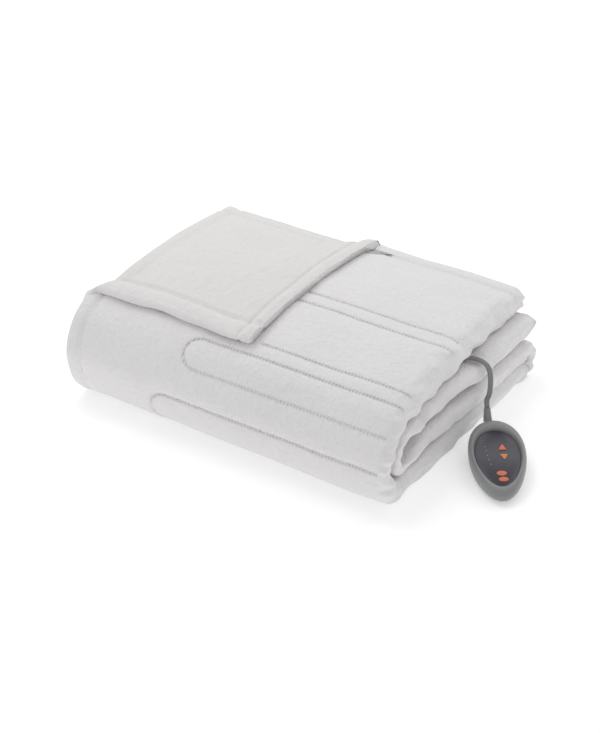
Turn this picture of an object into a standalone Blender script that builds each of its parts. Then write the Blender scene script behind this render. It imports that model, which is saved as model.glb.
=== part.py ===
"""Folded electric heated blanket with its handset.

A twin blanket, 1.57 m x 2.13 m, is folded in four both ways.  Across the
width the cloth goes back and forth in four plies, A (top), B, C and D.  That
four-ply strip then runs over the bundle, round the near side, under it, and
back inside as a doubled fold.  One corner of ply A is turned back over the
top.  The flat lead leaves between the two upper groups at the right end and
runs down to a wedge-shaped handset with four push buttons.

Metres, +Z up.  X runs along the bundle, -Y is its rounded near side, and the
origin is on the surface under the middle of the bundle.
"""
import math
import bpy
import bmesh
import numpy as np
from mathutils import Vector

# ---------------------------------------------------------------- bundle
LEFT_X = -0.265           # left end, where ply A and ply B have their hems
RIGHT_X = 0.257           # right end of the top group
PLY_SHARE = 0.80          # cloth thickness as a share of the ply pitch
LAYERS = 4                # plies in the strip
CROWN_MID = 1.045         # height factor at x = 0
CROWN_SLOPE = -0.17       # height factor per metre of x: the left end is fuller
RUN_X = (-0.10, 0.08)     # where each straight ply run is divided

# The strip's centre line in the YZ plane, from the far edge of the top group
# to the hidden far edge of the inner group.  y, z of the centre line, strip
# thickness, how far the right end sticks out past RIGHT_X, and the stations
# up to the next row.
STRIP = (
    # y,       z,      thick,  right,  steps
    (0.1950, 0.1120, 0.0350, 0.000, 2),    # far hem of the top group
    (0.1600, 0.1165, 0.0390, 0.000, 2),
    (0.1000, 0.1225, 0.0430, 0.001, 2),
    (0.0200, 0.1270, 0.0450, 0.002, 2),    # crest
    (-0.0600, 0.1270, 0.0445, 0.003, 2),
    (-0.1200, 0.1225, 0.0410, 0.003, 2),
    (-0.1615, 0.1180, 0.0370, 0.003, 2),   # start of the near turn
    (-0.1900, 0.1060, 0.0330, 0.004, 2),
    (-0.2075, 0.0830, 0.0300, 0.006, 2),
    (-0.2085, 0.0610, 0.0290, 0.008, 2),
    (-0.1990, 0.0325, 0.0285, 0.010, 2),
    (-0.1800, 0.0172, 0.0285, 0.011, 2),
    (-0.1550, 0.0145, 0.0290, 0.011, 1),   # flat on the surface from here
    (0.0000, 0.0145, 0.0290, 0.018, 1),
    (0.1550, 0.0143, 0.0285, 0.026, 1),
    (0.1690, 0.0146, 0.0270, 0.027, 2),    # far turn
    (0.1800, 0.0195, 0.0265, 0.028, 2),
    (0.1847, 0.0300, 0.0265, 0.029, 2),
    (0.1800, 0.0405, 0.0265, 0.029, 2),
    (0.1690, 0.0458, 0.0270, 0.028, 2),
    (0.1300, 0.0462, 0.0285, 0.026, 1),    # doubled fold, lower group
    (0.0000, 0.0462, 0.0285, 0.018, 1),
    (-0.1000, 0.0458, 0.0265, 0.008, 2),
    (-0.1400, 0.0415, 0.0190, 0.006, 2),
    (-0.1640, 0.0392, 0.0135, 0.005, 2),   # thin loop round the hollow
    (-0.1765, 0.0465, 0.0130, 0.004, 2),
    (-0.1825, 0.0615, 0.0135, 0.004, 2),
    (-0.1785, 0.0765, 0.0145, 0.004, 2),
    (-0.1640, 0.0850, 0.0165, 0.004, 2),
    (-0.1350, 0.0835, 0.0215, 0.004, 1),
    (-0.1000, 0.0790, 0.0275, 0.006, 1),   # doubled fold, upper group
    (0.0000, 0.0785, 0.0290, 0.014, 1),
    (0.1200, 0.0780, 0.0285, 0.024, 1),
    (0.1850, 0.0765, 0.0265, 0.027, 0),    # hidden far hem
)

# ---------------------------------------------------------------- turned corner
FOLD_LEFT = (-0.265, -0.150)    # x, y where the fold meets the left hem
FOLD_FAR = (0.023, 0.195)       # x, y where it meets the far hem
FLAP_TIP = (0.010, -0.150)      # the corner itself, turned over
FLAP_LIFT = 0.0016              # gap between the flap and ply A
FLAP_THICK = 0.0090
FOLD_RADIUS = 0.0092            # the roll of cloth along the fold
FLAP_CELLS = 7

# ---------------------------------------------------------------- handset
HANDSET_AT = (0.3479, -0.0685)
HANDSET_YAW = math.radians(-58.57)   # local +X runs to the narrow end
FACE_TILT = math.radians(8.0)
OUTLINE_Z = 0.0225              # height of the widest line at local x = 0
OUTLINE = (0.1522, 0.0784, 0.166, 0.0)      # length, width, egg factor, shift
FACE = (0.1146, 0.0645, 0.180, 0.0027)
FACE_RISE = 0.0065              # face rim above the widest line
RECESS = 0.0058                 # depth of the pocket under the face rim
PANEL_THICK = 0.0022
PANEL_DROP = 0.0030             # panel top below the rim
BUTTON_RISE = 0.0012
BUTTON_PLAY = 0.0005            # clearance round a button
BUTTON_BELOW = 0.0009           # how far a button reaches under the panel top
GAP = 0.0003
EGG_STEPS = 40
LED_R = 0.0009

LEADS = 0.0065                  # outer diameter of the lead
HANK_MID = (0.105, -0.030)      # the wound hank between the two upper groups
HANK_LONG, HANK_WIDE = 0.225, 0.122
HANK_HOLE_WIDE = 0.050
HANK_Z = (0.0990, 0.1058)       # at x = 0.105


# ================================================================ helpers
for old in list(bpy.data.objects):
    bpy.data.objects.remove(old, do_unlink=True)
parts = bpy.data.collections.new("electric_heated_blanket")
cutters = bpy.data.collections.new("cutters")
bpy.context.scene.collection.children.link(parts)
bpy.context.scene.collection.children.link(cutters)


def material(name, colour, roughness, metallic=0.0):
    """Principled material with the part's colour and finish."""
    mat = bpy.data.materials.new(name)
    mat.use_nodes = True
    shader = mat.node_tree.nodes["Principled BSDF"]
    shader.inputs["Base Color"].default_value = (*colour, 1.0)
    shader.inputs["Roughness"].default_value = roughness
    shader.inputs["Metallic"].default_value = metallic
    mat.diffuse_color = (*colour, 1.0)
    return mat


def make(name, bm, mat, home=None, parent=None, sharp=None):
    """Turn a bmesh into a named object in a collection."""
    bmesh.ops.recalc_face_normals(bm, faces=bm.faces)
    mesh = bpy.data.meshes.new(name)
    bm.to_mesh(mesh)
    bm.free()
    if mat:
        mesh.materials.append(mat)
    if sharp is not None:
        mesh.shade_smooth()
        mesh.set_sharp_from_angle(angle=math.radians(sharp))
    obj = bpy.data.objects.new(name, mesh)
    (home or parts).objects.link(obj)
    obj.parent = parent
    return obj


def cutter(obj):
    """Keep a tool shape out of the model."""
    obj.hide_render = True
    obj.display_type = "WIRE"
    return obj


def boolean(target, tool, operation):
    """Cut or join with the exact solver."""
    mod = target.modifiers.new(operation.lower(), "BOOLEAN")
    mod.operation = operation
    mod.solver = "EXACT"
    mod.object = tool
    return mod


def loft(bm, rings, cap_first=True, cap_last=True):
    """Skin a stack of rings, each an (n, 3) array, into a closed body."""
    grid = [[bm.verts.new(p) for p in ring] for ring in rings]
    count = len(grid[0])
    for low, high in zip(grid[:-1], grid[1:]):
        for i in range(count):
            j = (i + 1) % count
            bm.faces.new((low[i], low[j], high[j], high[i]))
    if cap_first:
        bm.faces.new(list(reversed(grid[0])))
    if cap_last:
        bm.faces.new(grid[-1])


# ================================================================ blanket
def catmull(knots, steps):
    """Points on the Catmull-Rom curve through the rows of `knots`."""
    k = np.vstack([2 * knots[0] - knots[1], knots, 2 * knots[-1] - knots[-2]])
    out = []
    for i, n in enumerate(steps[:-1]):
        p0, p1, p2, p3 = k[i:i + 4]
        for t in np.arange(n) / n:
            out.append(0.5 * (2 * p1 + (p2 - p0) * t
                              + (2 * p0 - 5 * p1 + 4 * p2 - p3) * t ** 2
                              + (3 * p1 - p0 - 3 * p2 + p3) * t ** 3))
    out.append(knots[-1])
    return np.array(out)


def strip_stations():
    """Centre line, outward normal, thickness and right reach at each station."""
    rows = np.array([r[:4] for r in STRIP])
    line = catmull(rows, [r[4] for r in STRIP])
    yz = line[:, :2]
    tangent = np.gradient(yz, axis=0)
    tangent /= np.linalg.norm(tangent, axis=1)[:, None]
    normal = np.stack([tangent[:, 1], -tangent[:, 0]], 1)
    return yz, normal, line[:, 2], line[:, 3]


def arc(cx, cn, radius, start, stop, steps):
    """(x, n) points of an arc, angles in degrees from +X."""
    a = np.radians(np.linspace(start, stop, steps + 1))
    return np.stack([cx + radius * np.cos(a), cn + radius * np.sin(a)], 1)


def ply_section(thick, reach):
    """Closed (x, n) outline of the four plies, folded back and forth.

    thick = 3 * pitch + ply, ply = PLY_SHARE * pitch, n = +thick/2 on ply A.
    """
    pitch = thick / (LAYERS - 1 + PLY_SHARE)
    half = 0.5 * PLY_SHARE * pitch
    turn_x = RIGHT_X + reach - 1.5 * pitch - half      # centre of both right turns
    left_turn = LEFT_X + 0.5 * pitch + half + 0.002
    right = [np.array([[x, 0.0]]) for x in RUN_X]

    def run(level, rightwards):
        pts = np.vstack(right if rightwards else right[::-1]) + [0.0, level]
        return pts

    def hem(level, x, upward):
        lo, hi = (-90, -270) if upward else (90, 270)
        return arc(x + half, level, half, lo, hi, 3)

    a, b, c, d = 1.5 * pitch, 0.5 * pitch, -0.5 * pitch, -1.5 * pitch
    return np.vstack([
        run(a + half, True),
        arc(turn_x, 0.0, a + half, 90, -90, 8),
        run(d - half, False),
        arc(left_turn, -pitch, 0.5 * pitch + half, 270, 90, 6),
        run(c + half, True),
        arc(turn_x, 0.0, b - half, -90, 90, 4),
        run(b - half, False),
        hem(b, LEFT_X + 0.004, True),
        run(b + half, True),
        arc(turn_x, 0.0, b + half, 90, -90, 6),
        run(c - half, False),
        arc(left_turn, -pitch, 0.5 * pitch - half, 90, 270, 4),
        run(d + half, True),
        arc(turn_x, 0.0, a - half, -90, 90, 6),
        run(a - half, False),
        hem(a, LEFT_X, True),
    ])


def lift(x, z):
    """The bundle is fuller towards its left end."""
    return z * (CROWN_MID + CROWN_SLOPE * x)


yz, normal, thick, reach = strip_stations()
rings = []
for (y, z), (ny, nz), t, far in zip(yz, normal, thick, reach):
    sec = ply_section(t, far)
    pts = np.stack([sec[:, 0], y + ny * sec[:, 1], z + nz * sec[:, 1]], 1)
    pts[:, 2] = lift(pts[:, 0], pts[:, 2])
    pts[:, 2] = np.where(pts[:, 2] < 0.0012, 0.0, pts[:, 2])
    rings.append(pts)

plush = material("plush", (0.82, 0.81, 0.82), 0.95)
bm = bmesh.new()
loft(bm, rings)
blanket = make("blanket", bm, plush, sharp=50)

# Upper and lower face of ply A along the top, as z over y at x = 0 before lift.
TOP_STATIONS = 16         # stations before the strip turns down
top = slice(0, TOP_STATIONS)
pitch_top = thick[top] / (LAYERS - 1 + PLY_SHARE)
face_y = (yz[top] + normal[top] * (thick[top] / 2)[:, None])
gap_n = thick[top] / 2 - PLY_SHARE * pitch_top - 0.5 * (1 - PLY_SHARE) * pitch_top
gap_y = (yz[top] + normal[top] * gap_n[:, None])


def surface(line, x, y):
    """Height of a ply face at (x, y)."""
    order = np.argsort(line[:, 0])
    return lift(x, np.interp(y, line[order, 0], line[order, 1]))


def triangle_slab(name, a, b, c, bottom, top_face):
    """Triangular slab between two height functions, on a barycentric grid."""
    a, b, c = (np.array(p) for p in (a, b, c))
    bm = bmesh.new()
    ids = {}
    for i in range(FLAP_CELLS + 1):
        for j in range(FLAP_CELLS + 1 - i):
            p = a + (b - a) * i / FLAP_CELLS + (c - a) * j / FLAP_CELLS
            ids[i, j] = [bm.verts.new((*p, h(*p))) for h in (bottom, top_face)]
    for i in range(FLAP_CELLS):
        for j in range(FLAP_CELLS - i):
            for side in (0, 1):
                bm.faces.new([ids[k][side] for k in ((i, j), (i + 1, j), (i, j + 1))])
                if i + j < FLAP_CELLS - 1:
                    bm.faces.new([ids[k][side] for k in
                                  ((i + 1, j), (i + 1, j + 1), (i, j + 1))])
    rim = ([(i, 0) for i in range(FLAP_CELLS)]
           + [(FLAP_CELLS - j, j) for j in range(FLAP_CELLS)]
           + [(0, FLAP_CELLS - i) for i in range(FLAP_CELLS)])
    for p, q in zip(rim, rim[1:] + rim[:1]):
        bm.faces.new((ids[p][0], ids[q][0], ids[q][1], ids[p][1]))
    return bm


OUT = 0.045               # how far the cutter reaches past the hems
along = Vector((FOLD_FAR[0] - FOLD_LEFT[0], FOLD_FAR[1] - FOLD_LEFT[1])).normalized()
p0 = (FOLD_LEFT[0] - along.x * OUT, FOLD_LEFT[1] - along.y * OUT)
p1 = (FOLD_FAR[0] + along.x * OUT, FOLD_FAR[1] + along.y * OUT)
away = (p0[0], p1[1])
corner_cut = cutter(make(
    "corner_cut",
    triangle_slab("corner_cut", p0, p1, away,
                  lambda x, y: surface(gap_y, x, y),
                  lambda x, y: surface(face_y, x, y) + 0.05),
    None, home=cutters))
flap = cutter(make(
    "flap",
    triangle_slab("flap", FOLD_LEFT, FLAP_TIP, FOLD_FAR,
                  lambda x, y: surface(face_y, x, y) + FLAP_LIFT,
                  lambda x, y: surface(face_y, x, y) + FLAP_LIFT + FLAP_THICK),
    None, home=cutters))

roll = []
for s in np.linspace(0.0, 1.0, 13):
    x = FOLD_LEFT[0] + (FOLD_FAR[0] - FOLD_LEFT[0]) * s
    y = FOLD_LEFT[1] + (FOLD_FAR[1] - FOLD_LEFT[1]) * s
    a = np.linspace(0, 2 * np.pi, 13)[:-1]
    centre = surface(face_y, x, y) + 0.5 * FLAP_LIFT
    radius = FOLD_RADIUS * (1.0 if 0 < s < 1 else 0.8)
    roll.append(np.stack([x - along.y * radius * np.cos(a) * 0.8,
                          y + along.x * radius * np.cos(a) * 0.8,
                          centre + radius * np.sin(a)], 1))
bm = bmesh.new()
loft(bm, roll)
fold_roll = cutter(make("fold_roll", bm, None, home=cutters))

boolean(blanket, corner_cut, "DIFFERENCE")
boolean(blanket, fold_roll, "UNION")
boolean(blanket, flap, "UNION")

# ================================================================ handset
housing_grey = material("housing_grey", (0.255, 0.258, 0.262), 0.45)
face_dark = material("face_dark", (0.069, 0.065, 0.086), 0.30)
button_orange = material("button_orange", (0.66, 0.175, 0.082), 0.50)
light_pale = material("light_pale", (0.35, 0.36, 0.42), 0.35)
lead_grey = material("lead_grey", (0.22, 0.22, 0.225), 0.55)

handset = bpy.data.objects.new("handset", None)
handset.location = (*HANDSET_AT, 0.0)
handset.rotation_euler = (0.0, 0.0, HANDSET_YAW)
parts.objects.link(handset)
face_plane = bpy.data.objects.new("face_plane", None)
face_plane.parent = handset
face_plane.location = (FACE_RISE * math.sin(FACE_TILT), 0.0,
                       OUTLINE_Z + FACE_RISE * math.cos(FACE_TILT))
face_plane.rotation_euler = (0.0, FACE_TILT, 0.0)
parts.objects.link(face_plane)


def egg(shape, grow=0.0, steps=EGG_STEPS):
    """(x, y) points of an egg: x = L/2 cos t + shift, y = W/2 sin t (1 - k cos t)."""
    length, width, factor, shift = shape
    t = np.linspace(0, 2 * np.pi, steps + 1)[:-1]
    c, s = np.cos(t), np.sin(t)
    return np.stack([(length / 2 + grow) * c + shift,
                     (width / 2 + grow) * s * (1 - factor * c)], 1)


def tilted(points, height):
    """Points of the tilted face plane, `height` above it, in handset axes."""
    ct, st = math.cos(FACE_TILT), math.sin(FACE_TILT)
    x = points[:, 0] * ct + (height + FACE_RISE) * st
    z = OUTLINE_Z - points[:, 0] * st + (height + FACE_RISE) * ct
    return np.stack([x, points[:, 1], z], 1)


def mix(first, second, share):
    return first * (1 - share) + second * share


wide, rim = egg(OUTLINE), egg(FACE, 0.0)
widest = tilted(wide, -FACE_RISE)


def lower(scale, share):
    """A ring under the widest line: scaled in plan, a share of its height."""
    ring = widest.copy()
    ring[:, :2] *= scale
    ring[:, 2] *= share
    return ring


housing_rings = [
    lower(0.80, 0.0), lower(0.90, 0.16), lower(0.965, 0.45), lower(0.995, 0.78), widest,
    tilted(mix(wide, rim, 0.10), -0.0030),
    tilted(mix(wide, rim, 0.35), 0.0008),
    tilted(mix(wide, rim, 0.62), 0.0022),
    tilted(mix(wide, rim, 0.85), 0.0018),
    tilted(rim, 0.0),
    tilted(egg(FACE, -0.0012), -0.0030),
    tilted(egg(FACE, -0.0014), -RECESS),
]
bm = bmesh.new()
loft(bm, housing_rings)
make("handset_housing", bm, housing_grey, parent=handset, sharp=35)


def prism(outline, z0, z1, bevel=0.0):
    """Closed prism over a flat outline, its top edge drawn in by `bevel`."""
    rings = [np.column_stack([outline, np.full(len(outline), z0)])]
    mid = outline.mean(0)
    if bevel:
        rings.append(np.column_stack([outline, np.full(len(outline), z1 - bevel)]))
        scale = 1 - bevel / np.abs(outline - mid).max()
        outline = mid + (outline - mid) * scale
    rings.append(np.column_stack([outline, np.full(len(outline), z1)]))
    bm = bmesh.new()
    loft(bm, rings)
    return bm


def oval(centre, length, width, steps=24):
    """Outline of an oval, its long axis across the handset."""
    t = np.linspace(0, 2 * np.pi, steps + 1)[:-1]
    return np.stack([centre[0] + width / 2 * np.cos(t),
                     centre[1] + length / 2 * np.sin(t)], 1)


def arrow(centre, length, width, point, steps=7, corner=0.0014):
    """Outline of a rounded triangle pointing along local x times `point`."""
    tips = np.array([[point * length / 2, 0.0], [-point * length / 2, width / 2],
                     [-point * length / 2, -width / 2]])
    out = []
    for i, tip in enumerate(tips):
        a, b = tips[i - 1] - tip, tips[(i + 1) % 3] - tip
        a, b = a / np.linalg.norm(a), b / np.linalg.norm(b)
        for t in np.linspace(0, 1, steps):
            cut = 2.2 * corner
            out.append(tip + a * cut * (1 - t) ** 2 + b * cut * t ** 2)
    return np.array(out) + centre


# name, outline in the face plane: x towards the narrow end, y to its left
BUTTONS = (
    ("button_up", arrow((-0.0200, 0.0072), 0.0125, 0.0120, -1)),
    ("button_down", arrow((0.0005, 0.0082), 0.0120, 0.0118, 1)),
    ("button_upper_oval", oval((0.0322, 0.0018), 0.0140, 0.0094)),
    ("button_lower_oval", oval((0.0438, 0.0034), 0.0136, 0.0088)),
)
LIGHTS = ((-0.0205, -0.0169), (-0.0119, -0.0155), (-0.0029, -0.0143),
          (0.0057, -0.0131), (0.0144, -0.0118))

panel = make("handset_face",
             prism(egg(FACE, -0.0012 - 2 * GAP), -PANEL_DROP - PANEL_THICK, -PANEL_DROP),
             face_dark, parent=face_plane)
for name, outline in BUTTONS:
    mid = outline.mean(0)
    button = make(name, prism(outline - mid, -PANEL_DROP - BUTTON_BELOW,
                              -PANEL_DROP + BUTTON_RISE, 0.0005),
                  button_orange, parent=face_plane)
    button.location = (mid[0], mid[1], 0.0)
    spokes = outline - mid
    grown = mid + spokes * (1 + BUTTON_PLAY / np.linalg.norm(spokes, axis=1)[:, None])
    hole = make(name + "_hole", prism(grown, -PANEL_DROP - 0.004, -PANEL_DROP + 0.004),
                None, home=cutters, parent=face_plane)
    boolean(panel, cutter(hole), "DIFFERENCE")

for number, (x, y) in enumerate(LIGHTS, 1):
    bm = bmesh.new()
    bmesh.ops.create_cone(bm, cap_ends=True, segments=12, radius1=LED_R,
                          radius2=LED_R * 0.8, depth=0.0005)
    light = make(f"light_{number}", bm, light_pale, parent=face_plane, sharp=40)
    light.location = (x, y, -PANEL_DROP + GAP + 0.00025)

# ================================================================ lead
GLAND_Y = -0.0070
GLAND_LONG = 0.014
GLAND_TILT = math.radians(38.0)      # the gland points up as well as out
gland_face = -0.0762 + 0.0012        # where the sleeve stands off the housing
bm = bmesh.new()
bmesh.ops.create_cone(bm, cap_ends=True, segments=16, radius1=0.0062,
                      radius2=0.0043, depth=GLAND_LONG)
gland = make("lead_gland", bm, lead_grey, parent=handset, sharp=40)


def gland_point(distance):
    """Point on the gland's axis, in handset axes."""
    return Vector((gland_face - 0.0065 - math.cos(GLAND_TILT) * distance, GLAND_Y,
                   0.0345 + math.sin(GLAND_TILT) * distance))


gland.location = gland_point(GLAND_LONG / 2)
gland.rotation_euler = (0.0, -(math.pi / 2 - GLAND_TILT), 0.0)


def to_world(point):
    """Handset axes to world axes."""
    c, s = math.cos(HANDSET_YAW), math.sin(HANDSET_YAW)
    return np.array([HANDSET_AT[0] + c * point[0] - s * point[1],
                     HANDSET_AT[1] + s * point[0] + c * point[1], point[2]])


start = to_world(gland_point(GLAND_LONG + 3 * GAP))
out_of_gland = to_world(gland_point(GLAND_LONG + 0.012))
hank_end = HANK_MID[0] + HANK_LONG / 2
LEAD_ROUTE = np.array([
    start, out_of_gland,
    (0.2955, 0.0150, 0.0640), (0.2925, 0.0240, 0.0830),
    (0.2840, 0.0300, 0.0955), (0.2690, 0.0330, 0.1000), (0.2500, 0.0300, 0.1006),
    (0.2360, 0.0180, 0.1009), (hank_end + GAP + 0.0010, 0.0060, 0.1012),
])
points = catmull(LEAD_ROUTE, [3, 3, 3, 3, 3, 2, 2, 2, 0])
curve = bpy.data.curves.new("lead", "CURVE")
curve.dimensions = "3D"
spline = curve.splines.new("POLY")
spline.points.add(len(points) - 1)
for point, place in zip(spline.points, points):
    point.co = (*place, 1.0)
curve.bevel_depth = LEADS / 2
curve.bevel_resolution = 2
curve.use_fill_caps = True
curve.materials.append(lead_grey)
lead = bpy.data.objects.new("lead", curve)
parts.objects.link(lead)


def stadium(long, wide, steps=10):
    """(x, y) outline with round ends about the hank's middle."""
    r = wide / 2
    a = np.linspace(-np.pi / 2, np.pi / 2, steps + 1)
    right = np.stack([long / 2 - r + r * np.cos(a), r * np.sin(a)], 1)
    return np.vstack([right, -right]) + HANK_MID


outer = stadium(HANK_LONG, HANK_WIDE)
inner = stadium(HANK_LONG - HANK_WIDE + HANK_HOLE_WIDE, HANK_HOLE_WIDE)
mid_factor = CROWN_MID + CROWN_SLOPE * HANK_MID[0]
rows = []
for outline, z in ((outer, HANK_Z[0]), (outer, HANK_Z[1]),
                   (inner, HANK_Z[1]), (inner, HANK_Z[0])):
    rows.append(np.column_stack([outline, lift(outline[:, 0], z / mid_factor)]))
bm = bmesh.new()
grid = [[bm.verts.new(p) for p in ring] for ring in rows]
count = len(grid[0])
for k in range(4):
    here, there = grid[k], grid[(k + 1) % 4]
    for i in range(count):
        j = (i + 1) % count
        bm.faces.new((here[i], here[j], there[j], there[i]))
make("lead_hank", bm, lead_grey, sharp=40)
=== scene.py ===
# %% [markdown]
# A folded electric blanket in white plush, with its hand control lying beside
# it.  Everything is in metres.  The frame comes first: it loads the packed
# solids, and every surface made below stands for one or more of them.

# %% Frame and helpers
import math
import bpy
import numpy as np
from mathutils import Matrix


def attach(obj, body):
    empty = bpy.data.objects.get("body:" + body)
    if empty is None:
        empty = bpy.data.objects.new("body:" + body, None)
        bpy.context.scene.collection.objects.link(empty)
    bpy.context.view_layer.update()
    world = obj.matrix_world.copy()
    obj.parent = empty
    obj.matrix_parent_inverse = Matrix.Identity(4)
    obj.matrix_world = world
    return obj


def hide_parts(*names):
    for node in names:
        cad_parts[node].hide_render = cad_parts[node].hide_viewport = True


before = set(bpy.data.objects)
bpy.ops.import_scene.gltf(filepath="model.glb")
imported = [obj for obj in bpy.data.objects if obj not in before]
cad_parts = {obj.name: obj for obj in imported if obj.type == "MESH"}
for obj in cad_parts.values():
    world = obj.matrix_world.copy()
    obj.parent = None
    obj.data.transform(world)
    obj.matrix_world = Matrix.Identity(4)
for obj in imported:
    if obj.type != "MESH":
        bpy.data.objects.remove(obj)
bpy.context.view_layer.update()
ROOT = "blanket_and_handset"

# %% [markdown]
# The view looks down on the rounded near side and the right end from about
# 33 degrees.  A long lens keeps the edges of the bundle nearly parallel.

# %% Camera
AZIMUTH, ELEVATION = math.radians(31.1), math.radians(32.5)
CAMERA_AT = (1.1056, -1.8476, 1.3918)
FOCAL_SHARE = 1723 / 733          # focal length over the frame's long side
camera_data = bpy.data.cameras.new("camera")
camera_data.sensor_width = 36.0
camera_data.lens = FOCAL_SHARE * 36.0
camera = bpy.data.objects.new("camera", camera_data)
camera.location = CAMERA_AT
camera.rotation_euler = (math.pi / 2 - ELEVATION, 0.0, AZIMUTH)
bpy.context.scene.collection.objects.link(camera)
bpy.context.scene.camera = camera
print("camera distance", round(float(np.linalg.norm(CAMERA_AT)), 3))

# %% [markdown]
# A shader is easier to read as a formula.  `Val` wraps one socket, and its
# operators add Math nodes, so `1 - mask * 0.3` is a small node tree.

# %% Shader expressions
class Val:
    """A socket with arithmetic: a + b, a * 2 and so on add Math nodes."""

    def __init__(self, graph, socket):
        self.graph, self.socket = graph, socket

    def _op(self, kind, *others):
        return self.graph.node("ShaderNodeMath", {"operation": kind},
                               {i: v for i, v in enumerate((self, *others))})

    def __add__(self, o): return self._op("ADD", o)
    def __sub__(self, o): return self._op("SUBTRACT", o)
    def __rsub__(self, o):
        return self.graph.node("ShaderNodeMath", {"operation": "SUBTRACT"}, {0: o, 1: self})

    def __mul__(self, o): return self._op("MULTIPLY", o)
    def __truediv__(self, o): return self._op("DIVIDE", o)
    def __abs__(self): return self._op("ABSOLUTE")
    def min(self, o): return self._op("MINIMUM", o)
    def max(self, o): return self._op("MAXIMUM", o)
    def sqrt(self): return self._op("SQRT")
    def sin(self): return self._op("SINE")


class Graph:
    """The node tree of one material, with one method that adds any node."""

    def __init__(self, name, **constants):
        self.mat = bpy.data.materials.new(name)
        self.mat.use_nodes = True
        self.tree = self.mat.node_tree
        self.shader = self.tree.nodes["Principled BSDF"]
        for key, value in constants.items():
            self.input(key).default_value = value

    def input(self, key):
        """The shader's input for a lower-case key: base_color is Base Color."""
        return self.shader.inputs[key.replace("_", " ").title()]

    def node(self, kind, settings, values, out=0):
        """Add a node: settings first, then values or links; returns an output."""
        made = self.tree.nodes.new(kind)
        for key, value in settings.items():
            setattr(made, key, value)
        for key, value in values.items():
            if isinstance(value, Val):
                self.tree.links.new(value.socket, made.inputs[key])
            else:
                made.inputs[key].default_value = value
        return Val(self, made.outputs[out])

    def uv(self):
        """The piece's UV map in metres of cloth: the vector, then its u and v."""
        where = self.node("ShaderNodeUVMap", {"uv_map": "cloth"}, {})
        u, v = (self.node("ShaderNodeSeparateXYZ", {}, {0: where}, out=i) for i in (0, 1))
        return where, u, v

    def place(self):
        """The point in the object's own axes, in metres."""
        return self.node("ShaderNodeTexCoord", {}, {}, out="Object")

    def noise(self, vector, scale, detail=2.0, rough=0.5, stretch=(1, 1, 1)):
        """Noise of about `scale` cells a metre, stretched along each axis."""
        moved = self.node("ShaderNodeMapping", {}, {"Vector": vector, "Scale": stretch})
        return self.node("ShaderNodeTexNoise", {}, {
            "Vector": moved, "Scale": scale, "Detail": detail, "Roughness": rough})

    def colour_mix(self, share, first, second):
        """first * (1 - share) + second * share, for two linear colours."""
        return self.node("ShaderNodeMix", {"data_type": "RGBA"}, {
            0: share, 6: (*first, 1.0), 7: (*second, 1.0)}, out=2)

    def bump(self, height, distance, strength=1.0):
        """A normal from `height`, which is worth `distance` metres at 1."""
        return self.node("ShaderNodeBump", {}, {
            "Height": height, "Distance": distance, "Strength": strength})

    def wire(self, **links):
        """Link values to the shader's inputs, and give the material."""
        for key, value in links.items():
            self.tree.links.new(value.socket, self.input(key))
        return self.mat


def put_mesh(name, verts, quads, mats, body, nodes=(), uv=None, which=None):
    """Make an object from vertex and face arrays, smooth, and give it to the frame."""
    mesh = bpy.data.meshes.new(name)
    mesh.from_pydata(np.asarray(verts).tolist(), [], [list(q) for q in quads])
    mesh.shade_smooth()
    for mat in mats:
        mesh.materials.append(mat)
    if which is not None:
        mesh.polygons.foreach_set("material_index", np.asarray(which, dtype=np.int32))
    if uv is not None:
        layer = mesh.uv_layers.new(name="cloth")
        layer.data.foreach_set("uv", np.asarray(uv, dtype=np.float32).ravel())
    mesh.update()
    obj = bpy.data.objects.new(name, mesh)
    bpy.context.scene.collection.objects.link(obj)
    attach(obj, body)
    if nodes:
        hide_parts(*nodes)
    print(name, len(verts), "points,", len(quads), "faces")
    return obj


def ring_faces(rings, count):
    """Quads between `rings` rows of `count` points, as an (n, 4) array."""
    r, c = np.meshgrid(np.arange(rings - 1), np.arange(count), indexing="ij")
    n = (c + 1) % count
    return np.stack([r * count + c, r * count + n, (r + 1) * count + n,
                     (r + 1) * count + c], -1).reshape(-1, 4)


def catmull(knots, steps):
    """Catmull-Rom curve through the rows of `knots`, `steps` points a span."""
    knots = np.asarray(knots, float)
    k = np.vstack([2 * knots[0] - knots[1], knots, 2 * knots[-1] - knots[-2]])
    spans = []
    for i, n in enumerate(steps):
        t = (np.arange(n) / n)[:, None]
        p0, p1, p2, p3 = k[i:i + 4]
        spans.append(0.5 * (2 * p1 + (p2 - p0) * t
                            + (2 * p0 - 5 * p1 + 4 * p2 - p3) * t ** 2
                            + (3 * p1 - p0 - 3 * p2 + p3) * t ** 3))
    return np.vstack(spans + [knots[-1:]])


# %% [markdown]
# The lead is flat, with a groove down each face.  It leaves the handset's
# sleeve, bends up into the gap between the two upper groups of plies, and the
# rest of its 1.8 m is wound there as a flat hank, one layer deep.

# %% Lead
HANDSET_AT = np.array([0.3479, -0.0685, 0.0])
HANDSET_YAW = math.radians(-58.57)
LEAD_WIDE, LEAD_THICK = 0.0074, 0.0046
HANK_MID = (0.105, -0.030)
HANK_LONG = 0.225
HANK_OUTER, HANK_INNER = 0.1135, 0.0590    # widths of the first and last turn
HANK_Z, TURNS = 0.0997, 3.25
SIDES = 16                                 # points round the lead


def lift(x, z):
    """The bundle is fuller towards its left end: z * (1.045 - 0.17 x)."""
    return z * (1.045 - 0.17 * x)


def to_world(p):
    """Handset axes to world axes, for an (n, 3) array."""
    p = np.atleast_2d(p)
    c, s = math.cos(HANDSET_YAW), math.sin(HANDSET_YAW)
    return HANDSET_AT + np.stack([c * p[:, 0] - s * p[:, 1],
                                  s * p[:, 0] + c * p[:, 1], p[:, 2]], 1)


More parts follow.
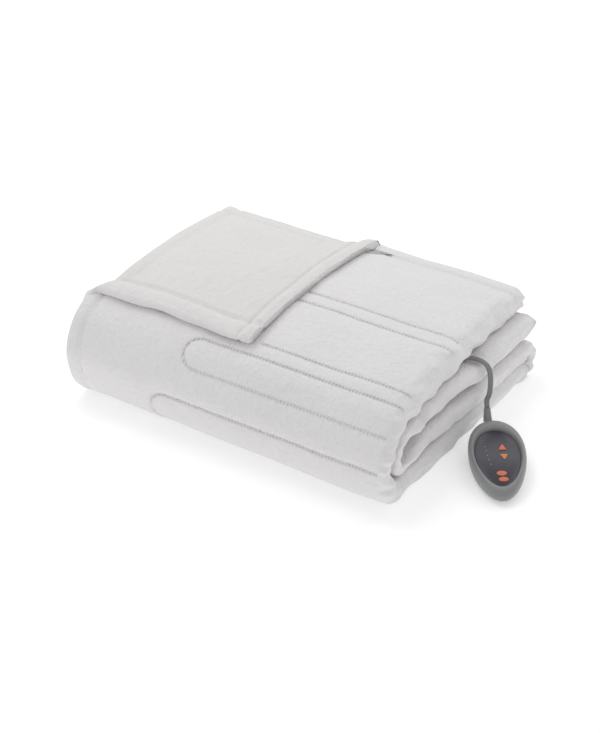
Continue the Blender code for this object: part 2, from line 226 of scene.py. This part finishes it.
GLAND_TILT = math.radians(38.0)
GLAND_ROOT = np.array([-0.0815, -0.0070, 0.0345])
GLAND_WAY = np.array([-math.cos(GLAND_TILT), 0.0, math.sin(GLAND_TILT)])
GLAND_LONG, EXIT_GAP = 0.014, 0.0009
exit_point = to_world(GLAND_ROOT + GLAND_WAY * (GLAND_LONG + EXIT_GAP))[0]
straight_end = to_world(GLAND_ROOT + GLAND_WAY * (GLAND_LONG + 0.012))
route = np.vstack([exit_point, straight_end,
                   [(0.2915, 0.0165, 0.0640), (0.2870, 0.0260, 0.0830),
                    (0.2790, 0.0320, 0.0945), (0.2660, 0.0340, 0.0995),
                    (0.2500, 0.0300, 0.1006), (0.2360, 0.0180, 0.1009)]])


def hank_route(turns, points=260):
    """Spiral of stadium turns, at angle a round it.

    x = clip(2.2 cos a) run/2 + w/2 cos a and y = -w/2 sin a, where the width w
    falls evenly from the outer turn to the inner.
    """
    a = np.linspace(0.0, turns * 2 * np.pi, points)
    wide = HANK_OUTER + (HANK_INNER - HANK_OUTER) * a / a[-1]
    half_run = (HANK_LONG - HANK_OUTER) / 2 - 0.004
    x = np.clip(np.cos(a) * 2.2, -1, 1) * half_run + wide / 2 * np.cos(a)
    y = -wide / 2 * np.sin(a)
    x, y = x + HANK_MID[0], y + HANK_MID[1]
    return np.stack([x, y, lift(x, HANK_Z)], 1)


line = np.vstack([catmull(route, [4] * 7), hank_route(TURNS)])
step = np.linalg.norm(np.diff(line, axis=0), axis=1)
lead_length = float(step.sum())
tangent = np.gradient(line, axis=0)
tangent /= np.linalg.norm(tangent, axis=1)[:, None]
flat = np.cross(tangent, [0.0, 0.0, 1.0])
flat[:10] = np.cross(tangent[:10], [0.35, -0.55, 1.0])    # broad side to the view at first
flat /= np.linalg.norm(flat, axis=1)[:, None]
for _ in range(12):                       # let the twist run out evenly
    flat[1:-1] = (flat[:-2] + flat[1:-1] + flat[2:]) / 3
    flat -= (flat * tangent).sum(1)[:, None] * tangent
    flat /= np.linalg.norm(flat, axis=1)[:, None]
up = np.cross(tangent, flat)
a = np.linspace(0, 2 * np.pi, SIDES + 1)[:-1]
groove = 1.0 - 0.20 * np.exp(-(np.cos(a) / 0.22) ** 2)
ring_w = np.sign(np.cos(a)) * np.abs(np.cos(a)) ** 0.7 * LEAD_WIDE / 2
ring_t = np.sign(np.sin(a)) * np.abs(np.sin(a)) ** 0.7 * LEAD_THICK / 2 * groove
verts = line[:, None] + flat[:, None] * ring_w[:, None] + up[:, None] * ring_t[:, None]
last = (len(line) - 1) * SIDES
quads = [list(q) for q in ring_faces(len(line), SIDES)]
quads += [list(range(SIDES))[::-1], list(range(last, last + SIDES))]

rubber = Graph("lead rubber", roughness=0.55)
grain = rubber.noise(rubber.place(), 900.0, 3.0)
rubber.wire(base_color=rubber.colour_mix(grain, (0.19, 0.19, 0.195),
                                         (0.29, 0.29, 0.295)),
            normal=rubber.bump(grain, 0.0002, 0.4))
lead = put_mesh("lead_flat", verts.reshape(-1, 3), quads, [rubber.mat], ROOT,
                ("lead", "lead_hank"))
print("lead length", round(lead_length, 3))

# %% [markdown]
# The blanket is one sheet.  Its four plies go back and forth in the (x, n)
# plane, and that section is carried along the fold path in the YZ plane.

# %% Fold path
LEFT_X, RIGHT_X, PLY_SHARE = -0.265, 0.257, 0.80
STRIP = np.array([
    # y,       z,      thick,  right
    (0.1950, 0.1120, 0.0350, 0.000), (0.1600, 0.1165, 0.0390, 0.000),
    (0.1000, 0.1225, 0.0430, 0.001), (0.0200, 0.1270, 0.0450, 0.002),
    (-0.0600, 0.1270, 0.0445, 0.003), (-0.1200, 0.1225, 0.0410, 0.003),
    (-0.1615, 0.1180, 0.0370, 0.003), (-0.1900, 0.1060, 0.0330, 0.004),
    (-0.2075, 0.0830, 0.0300, 0.006), (-0.2085, 0.0610, 0.0290, 0.008),
    (-0.1990, 0.0325, 0.0285, 0.010), (-0.1800, 0.0172, 0.0285, 0.011),
    (-0.1550, 0.0145, 0.0290, 0.011), (0.0000, 0.0145, 0.0290, 0.018),
    (0.1550, 0.0143, 0.0285, 0.026), (0.1690, 0.0146, 0.0270, 0.027),
    (0.1800, 0.0195, 0.0265, 0.028), (0.1847, 0.0300, 0.0265, 0.029),
    (0.1800, 0.0405, 0.0265, 0.029), (0.1690, 0.0458, 0.0270, 0.028),
    (0.1300, 0.0462, 0.0285, 0.026), (0.0000, 0.0462, 0.0285, 0.018),
    (-0.1000, 0.0458, 0.0265, 0.008), (-0.1400, 0.0415, 0.0190, 0.006),
    (-0.1640, 0.0392, 0.0135, 0.005), (-0.1765, 0.0465, 0.0130, 0.004),
    (-0.1825, 0.0615, 0.0135, 0.004), (-0.1785, 0.0765, 0.0145, 0.004),
    (-0.1640, 0.0850, 0.0165, 0.004), (-0.1350, 0.0835, 0.0215, 0.004),
    (-0.1000, 0.0790, 0.0275, 0.006), (0.0000, 0.0785, 0.0290, 0.014),
    (0.1200, 0.0780, 0.0285, 0.024), (0.1850, 0.0765, 0.0265, 0.027)])
STEPS = [18, 20, 27, 27, 20, 16, 13, 11, 10, 12, 7, 6, 6, 6, 3, 3, 3, 3, 3, 4, 5, 5,
         4, 4, 4, 4, 4, 4, 4, 3, 4, 4, 4]
path = catmull(STRIP, STEPS)
yz, thick, reach = path[:, :2], path[:, 2], path[:, 3]
way = np.gradient(yz, axis=0)
way /= np.linalg.norm(way, axis=1)[:, None]
out = np.stack([way[:, 1], -way[:, 0]], 1)          # towards ply A's face
skin = yz + out * (thick / 2)[:, None]
along = np.concatenate([[0], np.cumsum(np.linalg.norm(np.diff(skin, axis=0), axis=1))])
stations = len(path)
TOP = int(np.argmax(along > 0.445))                 # stations down to the near side
print(stations, "stations,", round(float(along[-1]), 3), "m along ply A")

# %% [markdown]
# Heating channels are sewn through the cloth: long loops that end in a round
# turn.  Every line is a distance in cloth metres.  It makes the shape's groove
# here, and in the finish it makes the thread's pinch marks and a painted
# shade along the lines.

# %% Channels and hems
HEM = 0.023
SINGLE_LINES = ((0.207, 0.010), (0.2345, 0.010), (0.348, 0.020))    # v, first u
LINE_END = 0.250                              # the lines stop short of the turn
# mid v, half width, and u where the round turn starts
LOOPS = ((0.3970, 0.0235, -0.0545), (0.4980, 0.0310, -0.0900))


def line_distance(u, v):
    """Least distance in metres from cloth point (u, v) to any sewn line.

    A line is hypot(v - at, min(u - first, 0)), a loop is
    |hypot(min(u - turn, 0), v - mid) - half|.
    """
    best = np.full(np.broadcast(u, v).shape, 1.0)
    for at, first in SINGLE_LINES:
        best = np.minimum(best, np.hypot(v - at, np.minimum(u - first, 0)))
    for mid, half, turn in LOOPS:
        best = np.minimum(best, np.abs(np.hypot(np.minimum(u - turn, 0), v - mid) - half))
    return np.hypot(best, np.maximum(u - LINE_END, 0))


def soft_noise(u, v, seed, scale):
    """Sum of six sines with seeded directions: smooth, repeatable ripples."""
    rng = np.random.default_rng(seed)
    total = 0.0
    for _ in range(6):
        angle, phase = rng.uniform(0, np.pi), rng.uniform(0, 6.28)
        k = rng.uniform(0.6, 1.6) * scale
        total = total + np.sin((u * math.cos(angle) + v * math.sin(angle)) * k + phase)
    return total / 6


def hem_swell(left, far):
    """Doubled cloth along a hem, with a groove where it is sewn down."""
    return (0.0022 * (np.exp(-((left - 0.011) / 0.009) ** 2)
                      + np.exp(-((far - 0.013) / 0.010) ** 2))
            - 0.0034 * (np.exp(-((left - HEM) / 0.0026) ** 2)
                        + np.exp(-((far - HEM - 0.004) / 0.0030) ** 2)))


def face_swell(u, v):
    """Outward shift of ply A's face: grooves, padded channels, hems and ripples."""
    d = line_distance(u, v)
    groove = -0.0022 * np.exp(-(d / 0.0022) ** 2)
    puff = 0.0014 * (1 - np.exp(-(d / 0.016) ** 2))
    hem = hem_swell(u - LEFT_X, v)
    ripple = 0.0013 * soft_noise(u, v, 3, 32.0) + 0.0006 * soft_noise(u, v, 8, 95.0)
    right = np.clip((u - 0.10) / 0.16, 0, 1)
    ripple = ripple + 0.0022 * right * soft_noise(u, v, 5, 60.0)
    return groove + puff + hem + ripple


# %% [markdown]
# The section is built for all stations at once: every row of the array is one
# closed outline of the four plies, with fine spacing where ply A is seen.

# %% Section of the plies
fine = np.concatenate([np.linspace(LEFT_X + 0.006, LEFT_X + 0.030, 9),
                       np.linspace(LEFT_X + 0.034, 0.03, 78),
                       np.linspace(0.036, 0.225, 38)])
mid_x = np.concatenate([np.linspace(LEFT_X + 0.009, LEFT_X + 0.030, 8),
                        np.linspace(LEFT_X + 0.034, 0.03, 78), np.linspace(0.06, 0.225, 6)])
coarse = np.concatenate([np.linspace(LEFT_X + 0.012, LEFT_X + 0.036, 7),
                         np.linspace(LEFT_X + 0.050, 0.225, 16)])
rough = np.linspace(LEFT_X + 0.020, 0.225, 5)
pitch = (thick / (3 + PLY_SHARE))[:, None]
half = PLY_SHARE * pitch / 2
v_all = along[:, None]
wob = 0.0035 * soft_noise(along, 0 * along, 11, 75.0)[:, None]      # uneven right end
wob2 = 0.0050 * soft_noise(along, 0 * along, 12, 110.0)[:, None] - 0.002
turn_x = RIGHT_X + reach[:, None] - 1.5 * pitch - half
left_turn = LEFT_X + 0.5 * pitch + half + 0.002
one = np.ones((stations, 1))
PIECES = []                                          # (x, n, ply) blocks


def run(xs, level, ply):
    """A straight run at height `level` with the given x samples."""
    PIECES.append((one * xs, level * np.ones(len(xs)), ply))


def turn(cx, cn, radius, a0, a1, count, ply, push=0.0):
    """Half turn about (cx, cn); `push` lengthens it in x."""
    ang = np.radians(np.linspace(a0, a1, count))
    PIECES.append((cx + (radius + push) * np.cos(ang), cn + radius * np.sin(ang), ply))


A, B, C, D = 1.5 * pitch, 0.5 * pitch, -0.5 * pitch, -1.5 * pitch
run(fine, A + half, 0)
turn(turn_x, 0.0, A + half, 90, -90, 22, 5, wob)
run(rough[::-1], D - half, 4)
turn(left_turn, -pitch, B + half, 270, 90, 9, 4)
run(rough, C + half, 4)
turn(turn_x, 0.0, B - half, -90, 90, 7, 4, wob2)
run(rough[::-1], B - half, 4)
turn(LEFT_X + 0.004 + half, B, half, -90, -270, 6, 3)
run(coarse, B + half, 3)
turn(turn_x, 0.0, B + half, 90, -90, 10, 4, wob2)
run(rough[::-1], C - half, 4)
turn(left_turn, -pitch, B - half, 90, 270, 6, 4)
run(rough, D + half, 4)
turn(turn_x, 0.0, A - half, -90, 90, 9, 4, wob)
run(mid_x[::-1], A - half, 1)
turn(LEFT_X + half, A, half * 1.12, 90, 270, 9, 2)
PIECES[-1] = (PIECES[-1][0], 2 * A - PIECES[-1][1], 2)    # climb from the inner face

X = np.hstack([one * b[0] for b in PIECES])
N = np.hstack([one * b[1] for b in PIECES])
PLY = np.concatenate([np.full(b[0].shape[1] if b[0].ndim == 2 else len(b[0]), b[2])
                      for b in PIECES])
V = v_all * np.ones_like(X)
count = X.shape[1]
print("section of", count, "points,", count * stations, "in all")

swell = face_swell(X, V)
outer_ply = np.isin(PLY, (0, 5))
fade = np.where(PLY == 5, np.clip((N + A) / (2 * A), 0, 1), 1.0)
N = N + np.where(outer_ply, swell * fade, 0.0)
back = hem_swell(X - LEFT_X, V) + 0.0007 * soft_noise(X, V, 41, 210.0)
N = N - np.where(PLY == 1, back, 0.0)
edge_side = np.clip((N - A) / half, -1, 1)            # round the hem from face to face
N = N + np.where(PLY == 2, swell * np.clip(edge_side, 0, 1)
                 + back * np.clip(edge_side, -1, 0), 0.0)
b_hem = 0.0012 * np.exp(-((X - LEFT_X - 0.013) / 0.008) ** 2) \
    - 0.0022 * np.exp(-((X - LEFT_X - 0.027) / 0.003) ** 2) \
    - 0.0022 * np.exp(-((V - 0.024) / 0.003) ** 2) + 0.0007 * soft_noise(X, V, 21, 60.0)
N = N + np.where(PLY == 3, b_hem, 0.0)
bulge = 0.0030 * np.sin(along * 46.0 + 1.0)[:, None] * np.clip((X - 0.16) / 0.1, 0, 1)
N = N + np.where(np.isin(PLY, (3, 4)), 0.25 * bulge, 0.0)

# %% [markdown]
# The corner of ply A is turned back along a diagonal.  The fold is worked out
# in cloth coordinates, u across and v along the strip, and then put back on
# the curved top.  Past the fold line a point goes round a small roll and then
# lies over the top, and a shear lets the corner land off square.

# %% Place the section and turn the corner back
world = np.stack([X, yz[:, :1] + out[:, :1] * N, yz[:, 1:] + out[:, 1:] * N], -1)
mid_skin = yz + out * A                               # middle of ply A
FOLD_LEFT, FOLD_FAR = np.array([-0.265, 0.380]), np.array([0.023, 0.0])
TIP = np.array([0.010, 0.361])
FOLD_R = 0.0060
fold_way = (FOLD_FAR - FOLD_LEFT) / np.linalg.norm(FOLD_FAR - FOLD_LEFT)
fold_side = np.array([fold_way[1], -fold_way[0]])     # towards the corner
corner = np.array([LEFT_X, 0.0]) - FOLD_LEFT
taken = np.pi * FOLD_R
reach_d = corner @ fold_side - taken                  # cloth past the roll
SHEAR = ((TIP - FOLD_LEFT) @ fold_way - corner @ fold_way) / reach_d
SQUEEZE = -((TIP - FOLD_LEFT) @ fold_side) / reach_d
print("fold shear", round(SHEAR, 3), "squeeze", round(SQUEEZE, 3))
is_a = np.isin(PLY, (0, 1, 2))
mask = (np.arange(stations) < TOP)[:, None] & is_a[None, :]
rel = np.stack([X[mask], V[mask]], 1) - FOLD_LEFT
off = (N - A)[mask]
run_on, delta = rel @ fold_way, rel @ fold_side
delta = delta + 0.0015 * np.sin(run_on * 31.0) + 0.0008 * np.sin(run_on * 74.0 + 1.0)
past = delta > 0
theta = np.clip(delta / FOLD_R, 0, np.pi)
beyond = np.clip(delta - taken, 0, None)
sideways = FOLD_R * np.sin(theta) + off * np.sin(theta) - beyond * SQUEEZE
height = FOLD_R * (1 - np.cos(theta)) + off * np.cos(theta)
new_uv = FOLD_LEFT + fold_way * (run_on + SHEAR * beyond)[:, None] \
    + fold_side * sideways[:, None]
lap = np.clip(beyond / 0.05, 0, 1)
height = height + lap * (0.0012 + 0.0018 * soft_noise(new_uv[:, 0], new_uv[:, 1], 31, 50.0))
grid_v = np.concatenate([[-0.05], along])
first = mid_skin[0] - way[0] * 0.05
rail = np.vstack([first, mid_skin])
face_out = np.vstack([out[0], out])
base = np.stack([np.interp(new_uv[:, 1], grid_v, rail[:, k]) for k in (0, 1)], 1)
lean = np.stack([np.interp(new_uv[:, 1], grid_v, face_out[:, k]) for k in (0, 1)], 1)
folded = np.column_stack([new_uv[:, 0], base + lean * height[:, None]])
points = world[mask]
points[past] = folded[past]
world[mask] = points
world[..., 2] = lift(world[..., 0], world[..., 2])

# %% [markdown]
# At the right end the groups of plies fall together.  The upper group of the
# doubled fold comes up and the top group comes down on it, except where the
# lead runs out between them, and the round ends are crumpled a little.

# %% Closing up of the right end
row = np.arange(stations)
last_group = (row >= stations - 14)[:, None]          # upper group of the doubled fold
first_group = (row < TOP - 20)[:, None]
end_share = np.clip((world[..., 0] - 0.17) / 0.09, 0, 1) ** 1.5
lead_dip = 1 - 0.9 * np.exp(-((world[..., 1] - 0.032) / 0.020) ** 2)
world[..., 2] += np.where(last_group, 0.0085 * end_share * lead_dip, 0.0)
under = np.clip(-N / A, 0, 1)
world[..., 2] -= np.where(first_group, 0.0055 * end_share * under * lead_dip, 0.0)
crumple = soft_noise(world[..., 1] + world[..., 2] * 1.7, world[..., 2] * 2.3, 51, 150.0)
world[..., 0] += 0.0045 * crumple * end_share
world[..., 2] += np.where(last_group | ~first_group, 0.0022, 0.0010) * end_share \
    * soft_noise(world[..., 1], world[..., 0] * 1.4, 52, 120.0) * (world[..., 2] > 0.012)

# %% [markdown]
# The bundle leans a little: its near side stands out further at the bottom
# towards the right end, where the plies were pushed over as it was put down.

# %% Lean of the near side
NEAR_PUSH, BUNDLE_LONG, FLOOR_SNAP = 0.0300, 0.53, 0.0012
x_share = np.clip((world[..., 0] - LEFT_X) / BUNDLE_LONG, 0, 1)
near_share = np.clip((-0.100 - world[..., 1]) / 0.085, 0, 1)
low_share = np.clip(1 - world[..., 2] / 0.120, 0, 1)
world[..., 1] -= NEAR_PUSH * x_share ** 0.8 * near_share ** 2 * low_share
world[..., 2] = np.where(world[..., 2] < FLOOR_SNAP, 0.0, world[..., 2])

# %% [markdown]
# The cloth is a white pile with small clumps and brushed streaks.  The sewn
# lines come from the same table as the grooves, and the thread pinches the
# pile at even steps along them; the colour is also darkened along them, a
# painted shade of the grooves.  The reverse is a little duller and coarser.

# %% Blanket finish
PINCH_AND_SHADE_WIDE, PINCH_STEP = 0.0030, 0.0052


def plush(name, light, dark, curl):
    """White pile: clumps, brushed streaks, pinch marks and painted shade along sewn lines.
    """
    g = Graph(name, roughness=0.95, sheen_weight=0.25, sheen_roughness=0.6)
    where, u, v = g.uv()

    def centre_distance(u0, v0):
        """sqrt((v - v0)^2 + min(u - u0, 0)^2)."""
        gap = (u - u0).min(0.0)
        return ((v - v0) * (v - v0) + gap * gap).sqrt()

    ways = [centre_distance(first_u, at) for at, first_u in SINGLE_LINES]
    ways += [abs(centre_distance(turn_u, mid) - half_wide)
             for mid, half_wide, turn_u in LOOPS]
    best = ways[0]
    for other in ways[1:]:
        best = best.min(other)
    ended = (u - LINE_END).max(0.0)
    # near is 1 on a sewn line and falls to 0 a few millimetres off it; it dents the pile,
    # and below it paints shade into the colour.
    near = (1 - (best + ended) / PINCH_AND_SHADE_WIDE).max(0.0)
    pinch = near * ((u * (2 * math.pi / PINCH_STEP)).sin() * 0.5 + 0.5)
    clumps = g.noise(where, 170.0 * curl, 4.0, 0.62)
    streaks = g.noise(where, 60.0, 3.0, 0.6, stretch=(6.0, 0.7, 1.0))
    broad = g.noise(where, 9.0, 2.0)
    tufts = g.noise(where, 55.0 * curl, 2.0, 0.55)
    height = clumps + tufts * 1.5 + streaks * 0.6 - pinch * 0.9 - near * 0.5
    # near * 0.14 darkens the colour along the sewn lines: painted shade of the stitch
    # grooves.
    tone = (broad * 0.5 + clumps * 0.55 + streaks * 0.25 - near * 0.14).max(0.0).min(1.0)
    return g.wire(base_color=g.colour_mix(tone, dark, light),
                  normal=g.bump(height, 0.0020, 0.9))


face_mat = plush("plush face", (0.88, 0.865, 0.875), (0.76, 0.745, 0.755), 1.0)
back_mat = plush("plush reverse", (0.82, 0.812, 0.797), (0.72, 0.710, 0.694), 0.62)

# %% [markdown]
# One mesh holds the whole sheet.  Faces that show ply A take their UVs from
# the cloth's (u, v), so the channels land on their grooves.  The others take
# the distance round the section, two metres away in v, where no line is sewn.

# %% Blanket mesh
OTHER_V, CAP_V = 2.0, 3.0
quads = ring_faces(stations, count)
which = np.where(np.isin(PLY, (1, 3)), 1, 0)[quads[:, 0] % count]
arc_u = np.concatenate([[0], np.cumsum(np.hypot(np.diff(X[0]), np.diff(N[0])))])
sewn = np.isin(PLY, (0, 5, 2))[quads[:, 0] % count][:, None]    # faces that show ply A
face_v = V.ravel()[quads]
uv = np.stack([np.where(sewn, X.ravel()[quads], arc_u[quads % count]),
               np.where(sewn, face_v, face_v + OTHER_V)], -1)
verts = world.reshape(-1, 3)
first_cap = list(range(count))[::-1]
last_cap = list(range((stations - 1) * count, stations * count))
all_faces = [list(q) for q in quads] + [first_cap, last_cap]
cap_uv = verts[first_cap + last_cap][:, [0, 2]] + [0, CAP_V]
blanket = put_mesh("blanket_plush", verts, all_faces, [face_mat, back_mat], ROOT,
                   ("blanket",), uv=np.vstack([uv.reshape(-1, 2), cap_uv]),
                   which=np.concatenate([which, [0, 0]]))
volume_sign = float(np.einsum("ij,ij->", verts[quads[:, 0]],
                              np.cross(verts[quads[:, 1]], verts[quads[:, 2]])))
if volume_sign < 0:
    blanket.data.flip_normals()
print("outward:", volume_sign > 0)

# %% [markdown]
# The handset is a wedge with an egg-shaped outline: thick at the lead's end and
# low at the other, so that it lies flat with its face tilted to the hand.

# %% Handset shapes
FACE_TILT, OUTLINE_Z, FACE_RISE = math.radians(8.0), 0.0225, 0.0065
OUTLINE, FACE = (0.1522, 0.0784, 0.166, 0.0), (0.1146, 0.0645, 0.180, 0.0027)
PANEL_TOP, BUTTON_RISE, EGG = -0.0030, 0.0012, 128


def egg(shape, grow=0.0):
    """x = L/2 cos t + shift, y = W/2 sin t (1 - k cos t)."""
    t = np.linspace(0, 2 * np.pi, EGG + 1)[:-1]
    return np.stack([(shape[0] / 2 + grow) * np.cos(t) + shape[3],
                     (shape[1] / 2 + grow) * np.sin(t) * (1 - shape[2] * np.cos(t))], 1)


def tilted(points, height):
    """Points on the tilted face plane, `height` above it, in handset axes."""
    ct, st = math.cos(FACE_TILT), math.sin(FACE_TILT)
    return np.stack([points[:, 0] * ct + (height + FACE_RISE) * st, points[:, 1],
                     OUTLINE_Z - points[:, 0] * st + (height + FACE_RISE) * ct], 1)


def lofted(name, rings, mat, body, nodes):
    """Close a stack of equal rings with a flat face at each end."""
    rings = np.asarray(rings)
    k, n = rings.shape[:2]
    sides = ring_faces(k, n)
    faces = sides.tolist() + [list(range(n))[::-1], list(range((k - 1) * n, k * n))]
    points = to_world(rings.reshape(-1, 3))
    obj = put_mesh(name, points, faces, [mat], body, nodes)
    p, q, r = (points[sides[:, i]] for i in range(3))
    if np.einsum("ij,ij->", p - points.mean(0), np.cross(q - p, r - p)) < 0:
        obj.data.flip_normals()
    obj.data.set_sharp_from_angle(angle=math.radians(38))
    return obj


wide, rim = egg(OUTLINE), egg(FACE)
widest = tilted(wide, -FACE_RISE)


def lower(scale, share):
    """A ring below the widest line."""
    return widest * [scale, scale, share]


BELOW = ((0.80, 0.0), (0.90, 0.16), (0.965, 0.45), (0.995, 0.78))   # scale, share of height
ABOVE = ((0.10, -0.0030), (0.35, 0.0008), (0.62, 0.0022), (0.85, 0.0018),
         (1.0, 0.0))                                  # share of the way in, height
key_rings = np.array([lower(*row) for row in BELOW] + [widest]
                     + [tilted(wide * (1 - s) + rim * s, h) for s, h in ABOVE])
shell = catmull(key_rings.reshape(len(key_rings), -1), [5] * (len(key_rings) - 1))
shell = shell.reshape(-1, EGG, 3)
well = np.array([tilted(egg(FACE, -0.0004), -0.0006), tilted(egg(FACE, -0.0012), -0.0030),
                 tilted(egg(FACE, -0.0014), -0.0058)])
body_mat = Graph("housing plastic", roughness=0.42)
speck = body_mat.noise(body_mat.place(), 1500.0, 2.0)
cloud = body_mat.noise(body_mat.place(), 22.0, 2.0)
body_mat.wire(base_color=body_mat.colour_mix(speck * 0.4 + cloud * 0.6,
                                             (0.215, 0.218, 0.222),
                                             (0.285, 0.288, 0.292)),
              roughness=speck * 0.12 + 0.36, normal=body_mat.bump(speck, 0.0001, 0.5))
lofted("housing_shell", np.vstack([shell, well]), body_mat.mat, ROOT,
       ("handset_housing",))

dark = Graph("face panel", roughness=0.3)
haze = dark.noise(dark.place(), 60.0, 3.0)
dark.wire(base_color=dark.colour_mix(haze, (0.040, 0.037, 0.050), (0.056, 0.052, 0.070)),
          roughness=haze * 0.15 + 0.25)
plate = egg(FACE, -0.0018)
lofted("face_plate", [tilted(plate, -0.0052), tilted(plate, PANEL_TOP - 0.0002),
                      tilted(plate * 0.995, PANEL_TOP)], dark.mat, ROOT,
       ("handset_face",))

# %% [markdown]
# Four soft orange buttons stand in the dark panel, two arrows and two ovals,
# each on its own body so that it can be pressed.  Five small lamps run beside
# them.

# %% Buttons and lights
CORNER_EASE = 0.0031                       # cut back from an arrow's corner


def arrow(centre, length, width, point):
    """Rounded triangle that points along x times `point`."""
    tips = np.array([[point * length / 2, 0.0], [-point * length / 2, width / 2],
                     [-point * length / 2, -width / 2]])
    outline = []
    for i, tip in enumerate(tips):
        p, q = tips[i - 1] - tip, tips[(i + 1) % 3] - tip
        p, q = p / np.linalg.norm(p), q / np.linalg.norm(q)
        t = np.linspace(0, 1, 9)[:, None]
        outline.append(tip + (p * (1 - t) ** 2 + q * t ** 2) * CORNER_EASE)
    return np.vstack(outline) + centre


def oval(centre, length, width):
    """Oval with its long axis across the handset."""
    t = np.linspace(0, 2 * np.pi, 37)[:-1]
    return np.stack([centre[0] + width / 2 * np.cos(t),
                     centre[1] + length / 2 * np.sin(t)], 1)


def orange_finish(name, low, high):
    """Matt silicone with a slightly uneven dye."""
    g = Graph(name, roughness=0.5)
    n = g.noise(g.place(), 300.0, 2.0)
    g.wire(base_color=g.colour_mix(n, low, high), roughness=n * 0.2 + 0.4)
    return g.mat


orange = orange_finish("button orange", (0.60, 0.155, 0.070), (0.72, 0.205, 0.100))
amber = orange_finish("button amber", (0.62, 0.215, 0.070), (0.72, 0.270, 0.100))
BUTTONS = (("button_up", arrow((-0.0200, 0.0072), 0.0125, 0.0120, -1), orange),
           ("button_down", arrow((0.0005, 0.0082), 0.0120, 0.0118, 1), amber),
           ("button_upper_oval", oval((0.0322, 0.0018), 0.0140, 0.0094), orange),
           ("button_lower_oval", oval((0.0438, 0.0034), 0.0136, 0.0088), orange))
# scale and height over the panel, from the skirt to the crown
DOME = ((1.0, -0.0009), (1.0, 0.0005), (0.97, 0.0009), (0.86, 0.00115), (0.6, 0.0013),
        (0.2, 0.00135))
for name, outline, mat in BUTTONS:
    mid = outline.mean(0)
    lofted(name + "_cap", [tilted(mid + (outline - mid) * s, PANEL_TOP + h)
                           for s, h in DOME],
           mat, name, (name,))

lamp = Graph("lamp lens", roughness=0.3)
glow = lamp.noise(lamp.place(), 500.0)
lamp.wire(base_color=lamp.colour_mix(glow, (0.30, 0.31, 0.37), (0.45, 0.46, 0.52)))
LIGHTS = ((-0.0205, -0.0169), (-0.0119, -0.0155), (-0.0029, -0.0143),
          (0.0057, -0.0131), (0.0144, -0.0118))
LAMP_WIDE = 0.0019
LENS = ((1.0, 0.0001), (0.95, 0.0005), (0.6, 0.0008), (0.1, 0.0009))
for number, centre in enumerate(LIGHTS, 1):
    dot = oval(centre, LAMP_WIDE, LAMP_WIDE)
    lofted(f"lamp_{number}", [tilted(centre + (dot - centre) * s, PANEL_TOP + h)
                              for s, h in LENS],
           lamp.mat, ROOT, (f"light_{number}",))

# %% [markdown]
# A short ribbed sleeve holds the lead where it leaves the handset.  It starts
# a little behind the gland's root and tapers towards the lead.

# %% Strain relief
ROOT_RADIUS, TIP_RADIUS, SLEEVE_BACK = 0.0062, 0.0045, 0.004
RIB_DEEP, RIBS = 0.00035, 6
share = np.linspace(0, 1, 29)
radius = ROOT_RADIUS + (TIP_RADIUS - ROOT_RADIUS) * share \
    + RIB_DEEP * np.cos(share * 2 * np.pi * RIBS)
ang = np.linspace(0, 2 * np.pi, 33)[:-1]
side, over = np.array([0.0, 1.0, 0.0]), np.cross(GLAND_WAY, [0.0, 1.0, 0.0])
station = share * (GLAND_LONG + SLEEVE_BACK) - SLEEVE_BACK
spine = GLAND_ROOT + GLAND_WAY * station[:, None]
sleeve = spine[:, None] + radius[:, None, None] * (
    np.cos(ang)[None, :, None] * side + np.sin(ang)[None, :, None] * over * 0.9)
lofted("sleeve", sleeve, rubber.mat, ROOT, ("lead_gland",))

# %% [markdown]
# Soft light from all round keeps the white cloth bright with gentle shade.  A
# large lamp over the left gives the top its lift and models the folds.

# %% Floor and light
ROOM_LIGHT, FLOOR_GLOW = 0.62, 0.30
FLOOR_HALF, FLOOR_Z = 6.0, -0.0004
scene = bpy.context.scene
scene.view_settings.view_transform = "Standard"
world_data = bpy.data.worlds.new("studio")
world_data.use_nodes = True
background = world_data.node_tree.nodes["Background"]
background.inputs[0].default_value = (1.0, 1.0, 1.0, 1.0)
background.inputs[1].default_value = ROOM_LIGHT
scene.world = world_data
floor_mesh = bpy.data.meshes.new("floor")
floor_mesh.from_pydata([(FLOOR_HALF * i, FLOOR_HALF * j, FLOOR_Z) for i, j in
                        ((-1, -1), (1, -1), (1, 1), (-1, 1))], [], [(0, 1, 2, 3)])
floor = bpy.data.objects.new("floor", floor_mesh)
floor_mat = Graph("floor", roughness=1.0, base_color=(0.92, 0.92, 0.92, 1.0),
                  emission_color=(1.0, 1.0, 1.0, 1.0), emission_strength=FLOOR_GLOW)
floor_mesh.materials.append(floor_mat.mat)
scene.collection.objects.link(floor)


def area_light(name, place, size, power):
    """Square soft light that looks at the bundle."""
    data = bpy.data.lights.new(name, "AREA")
    data.size, data.energy = size, power
    obj = bpy.data.objects.new(name, data)
    obj.location = place
    d = np.array(place) - [0.0, 0.0, 0.05]
    obj.rotation_euler = (math.atan2(math.hypot(d[0], d[1]), d[2]), 0.0,
                          math.atan2(d[0], -d[1]))
    scene.collection.objects.link(obj)


area_light("key", (-0.9, 0.3, 1.9), 1.2, 11.5)
area_light("back", (0.2, 1.8, 1.8), 1.4, 8.0)
